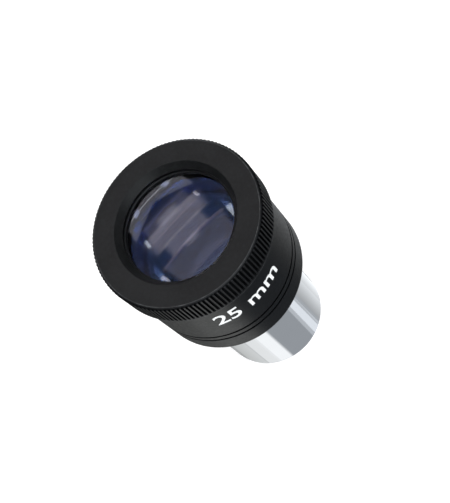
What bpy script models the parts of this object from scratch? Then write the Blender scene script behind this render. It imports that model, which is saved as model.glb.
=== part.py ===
"""Eyepiece with a push-fit chrome sleeve and a knurled focusing ring.

Frame: origin on the optical axis at the shoulder, where the sleeve leaves the
housing. +Z points towards the eye. Dimensions are in millimetres and become
metres as the meshes are made.

The knurled ring carries a collar that runs in the housing. The lens cell's
flange is held between a step in the collar and a thrust ring, and a guide
screw in a slot keeps the cell from turning, so it only rises and falls.
"""

import math

import bmesh
import bpy
from mathutils import Matrix

MM = 0.001

# ---------------------------------------------------------------- dimensions
# _R is a radius from the axis and _Z a height above the shoulder.
GAP = 0.3                # clearance between neighbouring parts
WIDE_BEVEL = 0.3
BEVEL = 0.25
FINE_BEVEL = 0.2

FACE_Z = 27.2            # eye face
COLLAR_R = 14.1
COLLAR_TOP_Z = 25.2
COLLAR_BOTTOM_Z = 12.7

LENS_R = 11.2
LENS_CLEAR_R = 10.8
CELL_R = 12.2
CELL_INNER_R = LENS_R + GAP
CELL_TOP_Z = COLLAR_TOP_Z
CELL_BOTTOM_Z = 5.3
CELL_FLANGE_R = 13.1
FLANGE_TOP_Z = 15.7
FLANGE_BOTTOM_Z = 14.6
THRUST_BORE_R = CELL_FLANGE_R + GAP
THRUST_BORE_Z = FLANGE_TOP_Z + GAP

HOUSING_R = 16.0
HOUSING_TOP_Z = 20.4     # shoulder below the knurled ring
NECK_R = 15.3
NECK_TOP_Z = 24.0
COLLAR_BORE_R = COLLAR_R + GAP
COLLAR_BORE_Z = COLLAR_BOTTOM_Z - GAP
CELL_BORE_R = CELL_R + GAP
CELL_BORE_Z = CELL_BOTTOM_Z - GAP
GROOVE_Z = (7.36, 5.54)  # two decorative rings
GROOVE_WIDTH = 0.62
GROOVE_DEPTH = 0.6

SLEEVE_LENGTH = 27.2     # sleeve below the shoulder
SLEEVE_R = 23.2 / 2
SLEEVE_BORE_R = 10.6
SLEEVE_BAFFLE_R = 9.9    # bore above the field stop
BAFFLE_BOTTOM_Z = -9.0
SPIGOT_R = 11.0          # sleeve's spigot in the housing
SPIGOT_TOP_Z = CELL_BORE_Z - GAP
SPIGOT_BOTTOM_Z = 1.0

TRAVEL = 2.5             # rise of the lens cell over the ring's full turn
GUIDE_Z = 10.0           # guide screw's height
GUIDE_TIP_R = 0.8
LOCK_Z = 2.8             # sleeve lock screw's height
RING_LOCK_Z = 24.95      # screw that fixes the knurled ring on its collar

SEGMENTS = 48            # outer turned parts
CAP_SEGMENTS = 43        # flat sides of the knurled ring
INNER_SEGMENTS = 32      # lenses and inner rings
SCREW_SEGMENTS = 16
HOLE_SEGMENTS = 20
LENS_STEPS = 5

# ------------------------------------------------------------------ scene
for old_object in list(bpy.data.objects):
    bpy.data.objects.remove(old_object, do_unlink=True)


def get_collection(name):
    found = bpy.data.collections.get(name)
    if found is None:
        found = bpy.data.collections.new(name)
        bpy.context.scene.collection.children.link(found)
    return found


PARTS = get_collection("eyepiece")
CUTTERS = get_collection("cutters")

# -------------------------------------------------------------- materials
# look: (red, green, blue), metallic, roughness, alpha
LOOKS = {
    "black_anodised": ((0.018, 0.020, 0.024), 0.4, 0.42, 1.0),
    "black_ring": ((0.022, 0.024, 0.026), 0.4, 0.5, 1.0),
    "chrome": ((0.80, 0.81, 0.83), 1.0, 0.08, 1.0),
    "brass": ((0.70, 0.52, 0.25), 1.0, 0.3, 1.0),
    "blackened_brass": ((0.05, 0.045, 0.04), 0.6, 0.45, 1.0),
    "baffle_black": ((0.012, 0.012, 0.013), 0.0, 0.85, 1.0),
    "screw_steel": ((0.12, 0.12, 0.13), 0.9, 0.35, 1.0),
    "washer_white": ((0.75, 0.75, 0.72), 0.0, 0.5, 1.0),
    "o_ring_rubber": ((0.02, 0.02, 0.02), 0.0, 0.7, 1.0),
    "glass": ((0.35, 0.38, 0.55), 0.0, 0.03, 0.35),
}


def add_material(part_name, mesh, look):
    """Gives the mesh a material of its own, named after its part."""
    colour, metallic, roughness, alpha = LOOKS[look]
    made = bpy.data.materials.new(part_name + "_look")
    made.use_nodes = True
    shader = made.node_tree.nodes["Principled BSDF"]
    shader.inputs["Base Color"].default_value = (*colour, 1.0)
    shader.inputs["Metallic"].default_value = metallic
    shader.inputs["Roughness"].default_value = roughness
    shader.inputs["Alpha"].default_value = alpha
    made.diffuse_color = (*colour, alpha)
    mesh.materials.append(made)


# ---------------------------------------------------------------- cutters
def adopt_active(name, collection):
    """Names the object an operator has just made and moves it to collection."""
    made = bpy.context.object
    made.name = name
    for owner in list(made.users_collection):
        owner.objects.unlink(made)
    collection.objects.link(made)
    return made


def hide_cutter(cutter):
    cutter.hide_render = True
    cutter.display_type = "WIRE"
    return cutter


def radial_cylinder(name, radius, inner_r, outer_r, z, segments=HOLE_SEGMENTS):
    """A cutter on the +Y side, whose axis is radial at height z."""
    bpy.ops.mesh.primitive_cylinder_add(
        vertices=segments,
        radius=radius * MM,
        depth=(outer_r - inner_r) * MM,
        location=(0, (inner_r + outer_r) / 2 * MM, z * MM),
        rotation=(math.pi / 2, 0, 0),
    )
    return hide_cutter(adopt_active(name, CUTTERS))


def add_box(shape, size, centre):
    verts = bmesh.ops.create_cube(shape, size=1.0)["verts"]
    bmesh.ops.scale(shape, vec=[length * MM for length in size], verts=verts)
    bmesh.ops.translate(shape, vec=[place * MM for place in centre], verts=verts)
    return verts


def cutter_from(name, shape):
    mesh = bpy.data.meshes.new(name)
    shape.to_mesh(mesh)
    shape.free()
    made = bpy.data.objects.new(name, mesh)
    CUTTERS.objects.link(made)
    return hide_cutter(made)


def box_cutter(name, size, centre):
    shape = bmesh.new()
    add_box(shape, size, centre)
    return cutter_from(name, shape)


# ----------------------------------------------------------- turned parts
def apply_modifiers(part):
    """Turns the modifiers into mesh, and shades it smooth with crisp edges."""
    bpy.context.view_layer.update()
    graph = bpy.context.evaluated_depsgraph_get()
    old_mesh = part.data
    mesh = bpy.data.meshes.new_from_object(part.evaluated_get(graph))
    part.modifiers.clear()
    part.data = mesh
    bpy.data.meshes.remove(old_mesh)
    mesh.name = part.name
    mesh.shade_smooth()
    mesh.set_sharp_from_angle(angle=math.radians(25))


def turned(name, profile, look, segments=SEGMENTS, on_axis=False, cutters=()):
    """A solid of revolution, less its cutters. The profile of (radius, z) runs
    down its outer side and up its inner side; a piece that is solid to the
    middle starts and ends on the axis."""
    mesh = bpy.data.meshes.new(name)
    points = [(r * MM, 0.0, z * MM) for r, z in profile]
    edges = [(i, i + 1) for i in range(len(points) - 1)]
    if not on_axis:
        edges.append((len(points) - 1, 0))
    mesh.from_pydata(points, edges, [])
    add_material(name, mesh, look)
    part = bpy.data.objects.new(name, mesh)
    PARTS.objects.link(part)

    screw = part.modifiers.new("turn", "SCREW")
    screw.axis = "Z"
    screw.angle = 2 * math.pi
    screw.screw_offset = 0.0
    screw.steps = segments
    screw.render_steps = segments
    screw.use_merge_vertices = on_axis
    screw.merge_threshold = 0.000001
    for cutter in cutters:
        boolean = part.modifiers.new("cut_" + cutter.name, "BOOLEAN")
        boolean.operation = "DIFFERENCE"
        boolean.solver = "EXACT"
        boolean.object = cutter
    apply_modifiers(part)
    return part


# ---------------------------------------------------------------- housing
SCREW_HOLE_R = 1.3
SCREW_HOLE_OUTER_R = 17.0   # where the hole cutters end, outside the housing


def ring_groove(z):
    """The four corners of one decorative groove, running down."""
    top_z = z + GROOVE_WIDTH / 2
    bottom_z = z - GROOVE_WIDTH / 2
    floor_r = HOUSING_R - GROOVE_DEPTH
    return [(HOUSING_R, top_z), (floor_r, top_z), (floor_r, bottom_z), (HOUSING_R, bottom_z)]


def build_housing():
    profile = [
        (NECK_R - WIDE_BEVEL, NECK_TOP_Z),
        (NECK_R, NECK_TOP_Z - WIDE_BEVEL),
        (NECK_R, HOUSING_TOP_Z),
        (HOUSING_R - BEVEL, HOUSING_TOP_Z),
        (HOUSING_R, HOUSING_TOP_Z - BEVEL),
        *ring_groove(GROOVE_Z[0]),
        *ring_groove(GROOVE_Z[1]),
        # bottom edge, eased in two facets
        (HOUSING_R, 0.9),
        (HOUSING_R - 0.25, 0.3),
        (HOUSING_R - 0.8, 0.0),
        # bores, from the sleeve's up to the collar's
        (SLEEVE_R + GAP, 0.0),
        (SLEEVE_R + GAP, SPIGOT_BOTTOM_Z + GAP),
        (SPIGOT_R + GAP, SPIGOT_BOTTOM_Z + GAP),
        (SPIGOT_R + GAP, CELL_BORE_Z),
        (CELL_BORE_R, CELL_BORE_Z),
        (CELL_BORE_R, COLLAR_BORE_Z),
        (COLLAR_BORE_R, COLLAR_BORE_Z),
        (COLLAR_BORE_R, NECK_TOP_Z),
    ]
    holes = (
        radial_cylinder("guide_hole", SCREW_HOLE_R, 11.8, SCREW_HOLE_OUTER_R, GUIDE_Z),
        radial_cylinder("lock_hole", SCREW_HOLE_R, 10.8, SCREW_HOLE_OUTER_R, LOCK_Z),
    )
    return turned("housing", profile, "black_anodised", cutters=holes)


# ------------------------------------------------------- sleeve and stop
STOP_OUTER_R = SLEEVE_BORE_R - GAP
STOP_TOP_Z = BAFFLE_BOTTOM_Z - GAP
STOP_BOTTOM_Z = STOP_TOP_Z - 1.0
STOP_R = 9.0             # opening of the field stop
STOP_RETAINER_R = 9.4    # opening of its retainer
STOP_RETAINER_TOP_Z = STOP_BOTTOM_Z - GAP
STOP_RETAINER_BOTTOM_Z = -12.4


def build_mounting_sleeve():
    profile = [
        (SPIGOT_R - WIDE_BEVEL, SPIGOT_TOP_Z),
        (SPIGOT_R, SPIGOT_TOP_Z - WIDE_BEVEL),
        (SPIGOT_R, SPIGOT_BOTTOM_Z),
        (SLEEVE_R, SPIGOT_BOTTOM_Z),
        (SLEEVE_R, -SLEEVE_LENGTH + WIDE_BEVEL),
        (SLEEVE_R - WIDE_BEVEL, -SLEEVE_LENGTH),
        (SLEEVE_BORE_R + 0.1, -SLEEVE_LENGTH),
        (SLEEVE_BORE_R, -SLEEVE_LENGTH + WIDE_BEVEL),
        (SLEEVE_BORE_R, BAFFLE_BOTTOM_Z),
        (SLEEVE_BAFFLE_R, BAFFLE_BOTTOM_Z),
        (SLEEVE_BAFFLE_R, SPIGOT_TOP_Z),
    ]
    return turned("mounting_sleeve", profile, "chrome")


def build_field_stop_ring():
    profile = [
        (STOP_OUTER_R, STOP_TOP_Z),
        (STOP_OUTER_R, STOP_BOTTOM_Z),
        (STOP_R + 0.6, STOP_BOTTOM_Z),
        (STOP_R, STOP_BOTTOM_Z + 0.4),
        (STOP_R, STOP_TOP_Z - 0.4),
        (STOP_R + 0.2, STOP_TOP_Z),
    ]
    return turned("field_stop_ring", profile, "baffle_black", INNER_SEGMENTS)


def build_field_stop_retainer():
    profile = [
        (STOP_OUTER_R, STOP_RETAINER_TOP_Z),
        (STOP_OUTER_R, STOP_RETAINER_BOTTOM_Z),
        (STOP_RETAINER_R + FINE_BEVEL, STOP_RETAINER_BOTTOM_Z),
        (STOP_RETAINER_R, STOP_RETAINER_BOTTOM_Z + FINE_BEVEL),
        (STOP_RETAINER_R, STOP_RETAINER_TOP_Z),
    ]
    slots = box_cutter("stop_spanner_slots", (23.0, 1.0, 1.2), (0, 0, STOP_RETAINER_BOTTOM_Z))
    return turned(
        "field_stop_retainer", profile, "baffle_black", INNER_SEGMENTS, cutters=[slots]
    )


# ----------------------------------------------------------------- screws
HEAD_R = 15.7            # outer ends of the two screws in the housing
SCREW_SLOT_WIDTH = 0.35
SCREW_SLOT_HEIGHT = 0.9  # half of it cuts into the screw


def radial_screw(name, body_r, tip_r, outer_r, shank_r, inner_r, z):
    """A slotted grub screw on the +Y side, pointing at the axis. body_r and
    tip_r are its own radii. The body reaches from outer_r in to shank_r, and
    the tip from there to inner_r."""
    body_length = outer_r - shank_r
    length = outer_r - inner_r
    profile = [
        (0.0, 0.0),
        (body_r - 0.15, 0.0),
        (body_r, -0.15),
        (body_r, -body_length),
        (tip_r, -body_length),
        (tip_r, -length + 0.1),
        (tip_r - 0.1, -length),
        (0.0, -length),
    ]
    slot_size = (body_r * 2.4, SCREW_SLOT_WIDTH, SCREW_SLOT_HEIGHT)
    slot = box_cutter(name + "_slot", slot_size, (0, 0, 0))
    made = turned(name, profile, "screw_steel", SCREW_SEGMENTS, on_axis=True, cutters=[slot])
    made.rotation_euler = (-math.pi / 2, 0, 0)
    made.location = (0, outer_r * MM, z * MM)
    return made


def build_guide_screw():
    return radial_screw(
        "guide_screw", body_r=1.0, tip_r=GUIDE_TIP_R,
        outer_r=HEAD_R, shank_r=12.9, inner_r=11.75, z=GUIDE_Z,
    )


def build_sleeve_lock_screw():
    return radial_screw(
        "sleeve_lock_screw", body_r=1.0, tip_r=0.7,
        outer_r=HEAD_R, shank_r=12.0, inner_r=11.2, z=LOCK_Z,
    )


def build_ring_lock_screw():
    return radial_screw(
        "ring_lock_screw", body_r=0.6, tip_r=0.4,
        outer_r=16.2, shank_r=14.9, inner_r=14.25, z=RING_LOCK_Z,
    )


# -------------------------------------------------------------- lens cell
# Heights of the stack at the lenses' edges, from the eye end down.
EYE_RETAINER_TOP_Z = 25.1
EYE_RETAINER_BOTTOM_Z = 24.5
EYE_TOP_Z = EYE_RETAINER_BOTTOM_Z - GAP
EYE_BOTTOM_Z = 21.1
CROWN_TOP_Z = 17.3
CROWN_BOTTOM_Z = 15.5
FLINT_TOP_Z = CROWN_BOTTOM_Z - 0.15
FLINT_BOTTOM_Z = 11.5
FIELD_TOP_Z = 9.7
FIELD_BOTTOM_Z = 7.7
END_RING_TOP_Z = FIELD_BOTTOM_Z - GAP
END_RING_BOTTOM_Z = 5.7
END_RING_BORE_R = 10.4
CEMENTED_CURVE = -24.0   # shared by the two lenses of the doublet

KEY_SLOT_Y = 11.9        # centre of the slot cutter
KEY_SLOT_DEPTH = 2.0
CELL_SLOT_LENGTH = 24.0  # spanner slots in the rings of the cell
CELL_SLOT_WIDTH = 0.9


def build_lens_cell_barrel():
    profile = [
        (CELL_R - BEVEL, CELL_TOP_Z),
        (CELL_R, CELL_TOP_Z - BEVEL),
        (CELL_R, FLANGE_TOP_Z),
        (CELL_FLANGE_R, FLANGE_TOP_Z),
        (CELL_FLANGE_R, FLANGE_BOTTOM_Z),
        (CELL_R, FLANGE_BOTTOM_Z),
        (CELL_R, CELL_BOTTOM_Z + FINE_BEVEL),
        (CELL_R - FINE_BEVEL, CELL_BOTTOM_Z),
        (CELL_INNER_R, CELL_BOTTOM_Z),
        (CELL_INNER_R, CELL_TOP_Z),
    ]
    # The slot clears the guide screw's tip over the whole travel.
    slot_top = GUIDE_Z + GUIDE_TIP_R + GAP
    slot_bottom = GUIDE_Z - TRAVEL - GUIDE_TIP_R - GAP
    key_slot = box_cutter(
        "key_slot",
        (2 * (GUIDE_TIP_R + GAP), KEY_SLOT_DEPTH, slot_top - slot_bottom),
        (0, KEY_SLOT_Y, (slot_top + slot_bottom) / 2),
    )
    return turned("lens_cell_barrel", profile, "black_anodised", cutters=[key_slot])


def build_eye_lens_retainer():
    profile = [
        (LENS_R, EYE_RETAINER_TOP_Z),
        (LENS_R, EYE_RETAINER_BOTTOM_Z),
        (LENS_CLEAR_R, EYE_RETAINER_BOTTOM_Z),
        (LENS_CLEAR_R, EYE_RETAINER_TOP_Z - 0.2),
        (LENS_CLEAR_R + 0.15, EYE_RETAINER_TOP_Z),
    ]
    slots = box_cutter(
        "eye_spanner_slots",
        (CELL_SLOT_LENGTH, CELL_SLOT_WIDTH, 0.5),
        (0, 0, EYE_RETAINER_TOP_Z),
    )
    return turned("eye_lens_retainer", profile, "black_anodised", cutters=[slots])


def lens_face(edge_z, curve, steps):
    """Points of a lens face from the axis out to its edge. curve is its signed
    radius, positive if the middle is its highest point; None is a flat face."""
    if curve is None:
        return [(0.0, edge_z), (LENS_R, edge_z)]
    edge_drop = math.sqrt(curve**2 - LENS_R**2)
    points = []
    for i in range(steps + 1):
        r = LENS_R * i / steps
        rise = math.sqrt(curve**2 - r**2) - edge_drop
        points.append((r, edge_z + math.copysign(rise, curve)))
    return points


def build_lens(name, top_z, top_curve, bottom_z, bottom_curve, top_steps=LENS_STEPS):
    profile = [
        *lens_face(top_z, top_curve, top_steps),
        *reversed(lens_face(bottom_z, bottom_curve, LENS_STEPS)),
    ]
    return turned(name, profile, "glass", INNER_SEGMENTS, on_axis=True)


def build_spacer(name, top_z, bottom_z, bore_r, bevel_height):
    """A ring between two lenses, its bore bevelled at both ends."""
    profile = [
        (LENS_R, top_z),
        (LENS_R, bottom_z),
        (bore_r + FINE_BEVEL, bottom_z),
        (bore_r, bottom_z + bevel_height),
        (bore_r, top_z - bevel_height),
        (bore_r + FINE_BEVEL, top_z),
    ]
    return turned(name, profile, "baffle_black", INNER_SEGMENTS)


def build_cell_end_ring():
    profile = [
        (LENS_R, END_RING_TOP_Z),
        (LENS_R, END_RING_BOTTOM_Z),
        (END_RING_BORE_R + FINE_BEVEL, END_RING_BOTTOM_Z),
        (END_RING_BORE_R, END_RING_BOTTOM_Z + FINE_BEVEL),
        (END_RING_BORE_R, END_RING_TOP_Z),
    ]
    slots = box_cutter(
        "end_spanner_slots",
        (CELL_SLOT_LENGTH, CELL_SLOT_WIDTH, 1.0),
        (0, 0, END_RING_BOTTOM_Z),
    )
    return turned("cell_end_ring", profile, "baffle_black", INNER_SEGMENTS, cutters=[slots])


# ----------------------------------------------------------- knurled ring
CAP_R = 16.9
CAP_FACE_R = 16.38
CAP_BOTTOM_Z = 20.69
CAP_SKIRT_BORE_R = NECK_R + GAP
OPENING_R = 12.2
LIP_R = 11.1
LIP_Z = COLLAR_TOP_Z + GAP
LIP_EDGE = 0.3           # height of the lip's upright edge
SLOT_COUNT = 3 * CAP_SEGMENTS
SLOT_WIDTH = 0.52
SLOT_DEPTH = 0.55
SLOT_TOP_Z = 26.92
SLOT_BOTTOM_Z = 21.1


def knurl_comb():
    """One radial bar for each knurl slot, joined in one mesh. Three slots sit
    in each flat side of the ring, clear of the corners between the sides."""
    floor_r = CAP_R - SLOT_DEPTH
    outer_r = CAP_R + 1.0
    size = (outer_r - floor_r, SLOT_WIDTH, SLOT_TOP_Z - SLOT_BOTTOM_Z)
    centre = ((outer_r + floor_r) / 2, 0, (SLOT_TOP_Z + SLOT_BOTTOM_Z) / 2)
    shape = bmesh.new()
    for i in range(SLOT_COUNT):
        turn = Matrix.Rotation((i + 0.5) * 2 * math.pi / SLOT_COUNT, 3, "Z")
        bar = add_box(shape, size, centre)
        bmesh.ops.rotate(shape, cent=(0, 0, 0), matrix=turn, verts=bar)
    return cutter_from("knurl_comb", shape)


def build_knurled_cap():
    profile = [
        (CAP_FACE_R, FACE_Z),
        (CAP_R, FACE_Z - 0.42),
        (CAP_R, CAP_BOTTOM_Z + FINE_BEVEL),
        (CAP_R - FINE_BEVEL, CAP_BOTTOM_Z),
        (CAP_SKIRT_BORE_R, CAP_BOTTOM_Z),
        (CAP_SKIRT_BORE_R, NECK_TOP_Z + GAP),
        (COLLAR_R + GAP, NECK_TOP_Z + GAP),
        (COLLAR_R + GAP, LIP_Z),
        (LIP_R, LIP_Z),
        (LIP_R, LIP_Z + LIP_EDGE),
        (OPENING_R, FACE_Z),
    ]
    cutters = (
        knurl_comb(),
        radial_cylinder("ring_lock_hole", 0.9, 13.6, 18.0, RING_LOCK_Z, SCREW_SEGMENTS),
    )
    return turned("knurled_cap", profile, "black_ring", CAP_SEGMENTS, cutters=cutters)


# ----------------------------------------------- collar and its inner rings
O_RING_Z = 20.0
O_RING_GROOVE_WIDTH = 1.0
O_RING_GROOVE_DEPTH = 0.6
WASHER_TOP_Z = 14.4
WASHER_BOTTOM_Z = 14.05
THRUST_RING_TOP_Z = 13.8
THRUST_RING_BOTTOM_Z = 12.9


def build_helicoid_collar():
    groove_top = O_RING_Z + O_RING_GROOVE_WIDTH / 2
    groove_bottom = O_RING_Z - O_RING_GROOVE_WIDTH / 2
    groove_r = COLLAR_R - O_RING_GROOVE_DEPTH
    profile = [
        (COLLAR_R - FINE_BEVEL, COLLAR_TOP_Z),
        (COLLAR_R, COLLAR_TOP_Z - FINE_BEVEL),
        (COLLAR_R, groove_top),
        (groove_r, groove_top),
        (groove_r, groove_bottom),
        (COLLAR_R, groove_bottom),
        (COLLAR_R, COLLAR_BOTTOM_Z),
        (THRUST_BORE_R, COLLAR_BOTTOM_Z),
        (THRUST_BORE_R, THRUST_BORE_Z),
        (CELL_R + GAP, THRUST_BORE_Z),
        (CELL_R + GAP, COLLAR_TOP_Z),
    ]
    return turned("helicoid_collar", profile, "brass")


def build_friction_o_ring():
    bpy.ops.mesh.primitive_torus_add(
        major_segments=40,
        minor_segments=8,
        major_radius=(COLLAR_R - 0.2) * MM,
        minor_radius=0.3 * MM,
        location=(0, 0, O_RING_Z * MM),
    )
    made = adopt_active("friction_o_ring", PARTS)
    add_material("friction_o_ring", made.data, "o_ring_rubber")
    made.data.shade_smooth()
    return made


def build_thrust_washer():
    profile = [
        (CELL_FLANGE_R, WASHER_TOP_Z),
        (CELL_FLANGE_R, WASHER_BOTTOM_Z),
        (CELL_R + GAP, WASHER_BOTTOM_Z),
        (CELL_R + GAP, WASHER_TOP_Z),
    ]
    return turned("thrust_washer", profile, "washer_white", INNER_SEGMENTS)


def build_thrust_ring():
    bore_r = CELL_R + GAP
    profile = [
        (CELL_FLANGE_R, THRUST_RING_TOP_Z),
        (CELL_FLANGE_R, THRUST_RING_BOTTOM_Z),
        (bore_r + FINE_BEVEL, THRUST_RING_BOTTOM_Z),
        (bore_r, THRUST_RING_BOTTOM_Z + FINE_BEVEL),
        (bore_r, THRUST_RING_TOP_Z),
    ]
    slots = box_cutter("thrust_spanner_slots", (28.0, 1.0, 0.9), (0, 0, THRUST_RING_BOTTOM_Z))
    return turned("thrust_ring", profile, "blackened_brass", INNER_SEGMENTS, cutters=[slots])


# --------------------------------------------------------------- assembly
def add_frame(name, parent, members):
    """An empty that carries the members of one moving body."""
    made = bpy.data.objects.new(name, None)
    made.empty_display_size = 0.004
    PARTS.objects.link(made)
    made.parent = parent
    for member in members:
        member.parent = made
    return made


eyepiece_frame = add_frame("eyepiece_frame", None, (
    build_housing(),
    build_mounting_sleeve(),
    build_field_stop_ring(),
    build_field_stop_retainer(),
    build_guide_screw(),
    build_sleeve_lock_screw(),
))
cell_frame = add_frame("cell_lift_axis", eyepiece_frame, (
    build_lens_cell_barrel(),
    build_eye_lens_retainer(),
    build_lens("eye_lens", EYE_TOP_Z, 32.0, EYE_BOTTOM_Z, -60.0, top_steps=LENS_STEPS + 2),
    build_spacer("upper_spacer", EYE_BOTTOM_Z - GAP, CROWN_TOP_Z + GAP, 10.4, 0.6),
    build_lens("doublet_crown", CROWN_TOP_Z, 28.0, CROWN_BOTTOM_Z, CEMENTED_CURVE),
    build_lens("doublet_flint", FLINT_TOP_Z, CEMENTED_CURVE, FLINT_BOTTOM_Z, None),
    build_spacer("lower_spacer", FLINT_BOTTOM_Z - GAP, FIELD_TOP_Z + GAP, 10.3, 0.3),
    build_lens("field_lens", FIELD_TOP_Z, 50.0, FIELD_BOTTOM_Z, None),
    build_cell_end_ring(),
))
add_frame("cap_turn_axis", cell_frame, (
    build_knurled_cap(),
    build_helicoid_collar(),
    build_ring_lock_screw(),
    build_friction_o_ring(),
    build_thrust_washer(),
    build_thrust_ring(),
))
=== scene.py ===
"""A telescope eyepiece: turned surfaces, materials, light and camera around its CAD frame.

The axis is Z, with +Z towards the eye and z = 0 at the lower end of the housing. The
sleeve hangs below it, the knurled ring and the eye lens are at the top. The three
grub screws are on the +Y side and the printed mark is on the -Y side.
Sizes are in millimetres, except on the stage, which is in metres.
"""

import functools
import math

import bmesh
import bpy
from mathutils import Matrix, Vector


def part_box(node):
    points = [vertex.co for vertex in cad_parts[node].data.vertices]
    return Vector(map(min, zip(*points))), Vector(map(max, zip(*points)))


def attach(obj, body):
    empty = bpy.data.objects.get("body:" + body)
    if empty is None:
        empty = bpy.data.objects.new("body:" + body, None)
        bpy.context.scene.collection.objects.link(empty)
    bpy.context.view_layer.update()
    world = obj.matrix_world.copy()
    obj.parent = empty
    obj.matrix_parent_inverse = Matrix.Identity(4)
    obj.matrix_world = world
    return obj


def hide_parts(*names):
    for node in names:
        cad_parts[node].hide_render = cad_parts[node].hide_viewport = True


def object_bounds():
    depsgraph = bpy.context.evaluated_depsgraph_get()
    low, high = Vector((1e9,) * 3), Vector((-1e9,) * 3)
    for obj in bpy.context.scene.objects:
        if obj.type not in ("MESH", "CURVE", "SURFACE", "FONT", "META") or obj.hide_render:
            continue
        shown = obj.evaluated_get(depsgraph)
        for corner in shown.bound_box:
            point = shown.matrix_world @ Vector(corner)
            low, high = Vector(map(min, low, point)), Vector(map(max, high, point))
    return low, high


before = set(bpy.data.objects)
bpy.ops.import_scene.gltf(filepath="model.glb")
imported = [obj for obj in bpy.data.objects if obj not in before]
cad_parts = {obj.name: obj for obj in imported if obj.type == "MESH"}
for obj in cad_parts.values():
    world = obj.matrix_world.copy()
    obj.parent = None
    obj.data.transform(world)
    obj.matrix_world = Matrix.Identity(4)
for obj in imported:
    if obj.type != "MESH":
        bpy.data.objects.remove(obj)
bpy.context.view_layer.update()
MM = 0.001
SHARP = math.radians(32)
SIZE_TOLERANCE = 1.5e-4  # metres between a fine piece and its CAD node

# Bodies of the frame that the pieces ride on
ROOT, LENS_CELL, FOCUS = "eyepiece_body", "lens_cell", "focus_ring"

# Driving dimensions; _R is a radius and _Z a height on the axis
HOUSING_R = 16.0
GROOVES_Z = (7.36, 5.54)
GROOVE_HALF = 0.31
GROOVE_DEPTH = 0.6
SLEEVE_BORE_R = 10.6
STOP_R = 10.3
LENS_R = 11.2
CELL_R = 12.2
FLANGE_R = 13.1
COLLAR_R = 14.1
COLLAR_BORE_R = 12.5
RING_R = 16.9
RING_EDGE_R = 16.38  # inner edge of the chamfer round the ring's top
RING_EDGE_Z = 26.78  # lower edge of that chamfer
RING_TOP_Z = 27.2
GUIDE_SCREW_Z = 10.0
SLEEVE_SCREW_Z = 2.8
RING_SCREW_Z = 24.95
FINE_COLUMNS = 288


# =====================================================================
# geometry helpers
# =====================================================================
def rounded(corners, closed=True):
    """A profile from corners (r, z, fillet radius). Each fillet is an arc, with
    a point just outside it so that its shading stays off the flats."""
    degrees_per_step = 15
    support_gap = 0.05
    points = []

    def add_support(tangent, direction, side_length):
        gap = min(support_gap, 0.2 * side_length)
        if side_length - reach > 3 * gap:
            points.append(tuple(tangent + direction * gap))

    count = len(corners)
    for i, corner in enumerate(corners):
        r, z, radius = corner
        here = Vector((r, z))
        if radius <= 0 or (not closed and i in (0, count - 1)):
            points.append((r, z))
            continue
        to_before = Vector(corners[i - 1][:2]) - here
        to_after = Vector(corners[(i + 1) % count][:2]) - here
        back, ahead = to_before.normalized(), to_after.normalized()
        turn = math.pi - math.acos(max(-1.0, min(1.0, back.dot(ahead))))
        if turn < 0.02:  # as good as straight
            points.append((r, z))
            continue
        reach = radius * math.tan(turn / 2)
        reach = min(reach, 0.45 * to_before.length, 0.45 * to_after.length)
        radius = reach / math.tan(turn / 2)
        start, end = here + back * reach, here + ahead * reach
        centre = here + (back + ahead).normalized() * (radius / math.cos(turn / 2))
        steps = max(3, int(math.degrees(turn) / degrees_per_step))
        add_support(start, back, to_before.length)
        first, last = start - centre, end - centre
        angle = math.atan2(first.x * last.y - first.y * last.x, first.dot(last))
        for k in range(steps + 1):
            t = angle * k / steps
            points.append(
                (
                    centre.x + first.x * math.cos(t) - first.y * math.sin(t),
                    centre.y + first.x * math.sin(t) + first.y * math.cos(t),
                )
            )
        add_support(end, ahead, to_after.length)
    return points


def link_object(name, mesh):
    made = bpy.data.objects.new(name, mesh)
    bpy.context.scene.collection.objects.link(made)
    return made


def shade(mesh, sharp=SHARP):
    mesh.shade_smooth()
    mesh.set_sharp_from_angle(angle=sharp)


def mesh_object(name, verts, faces, sharp=SHARP):
    mesh = bpy.data.meshes.new(name)
    mesh.from_pydata([tuple(c * MM for c in vert) for vert in verts], [], faces)
    mesh.validate()
    mesh.update()
    shade(mesh, sharp)
    return link_object(name, mesh)


def lathe(name, profile, columns, closed=True, sharp=SHARP):
    """A turned solid. The profile runs down its outer side; a solid piece
    starts and ends on the axis and closed is False."""
    verts, rings = [], []
    for r, z in profile:
        if r < 1e-6:
            rings.append([len(verts)])
            verts.append((0.0, 0.0, z))
            continue
        rings.append(list(range(len(verts), len(verts) + columns)))
        for j in range(columns):
            angle = 2 * math.pi * j / columns
            verts.append((r * math.cos(angle), r * math.sin(angle), z))
    faces = []
    pairs = len(rings) if closed else len(rings) - 1
    for i in range(pairs):
        upper, lower = rings[i], rings[(i + 1) % len(rings)]
        for j in range(columns):
            k = (j + 1) % columns
            if len(upper) == 1:
                faces.append((upper[0], lower[j], lower[k]))
            elif len(lower) == 1:
                faces.append((upper[j], lower[0], upper[k]))
            else:
                faces.append((upper[j], lower[j], lower[k], upper[k]))
    return mesh_object(name, verts, faces, sharp)


def carve(target, cutters):
    """Cuts the cutters out of target for good, and removes them."""
    for i, cutter in enumerate(cutters):
        boolean = target.modifiers.new("carve%d" % i, "BOOLEAN")
        boolean.operation = "DIFFERENCE"
        boolean.solver = "EXACT"
        boolean.object = cutter
    bpy.context.view_layer.update()
    graph = bpy.context.evaluated_depsgraph_get()
    mesh = bpy.data.meshes.new_from_object(target.evaluated_get(graph))
    target.modifiers.clear()
    old = target.data
    target.data = mesh
    bpy.data.meshes.remove(old)
    mesh.name = target.name
    shade(mesh)
    for cutter in cutters:
        bpy.data.objects.remove(cutter)


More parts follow.
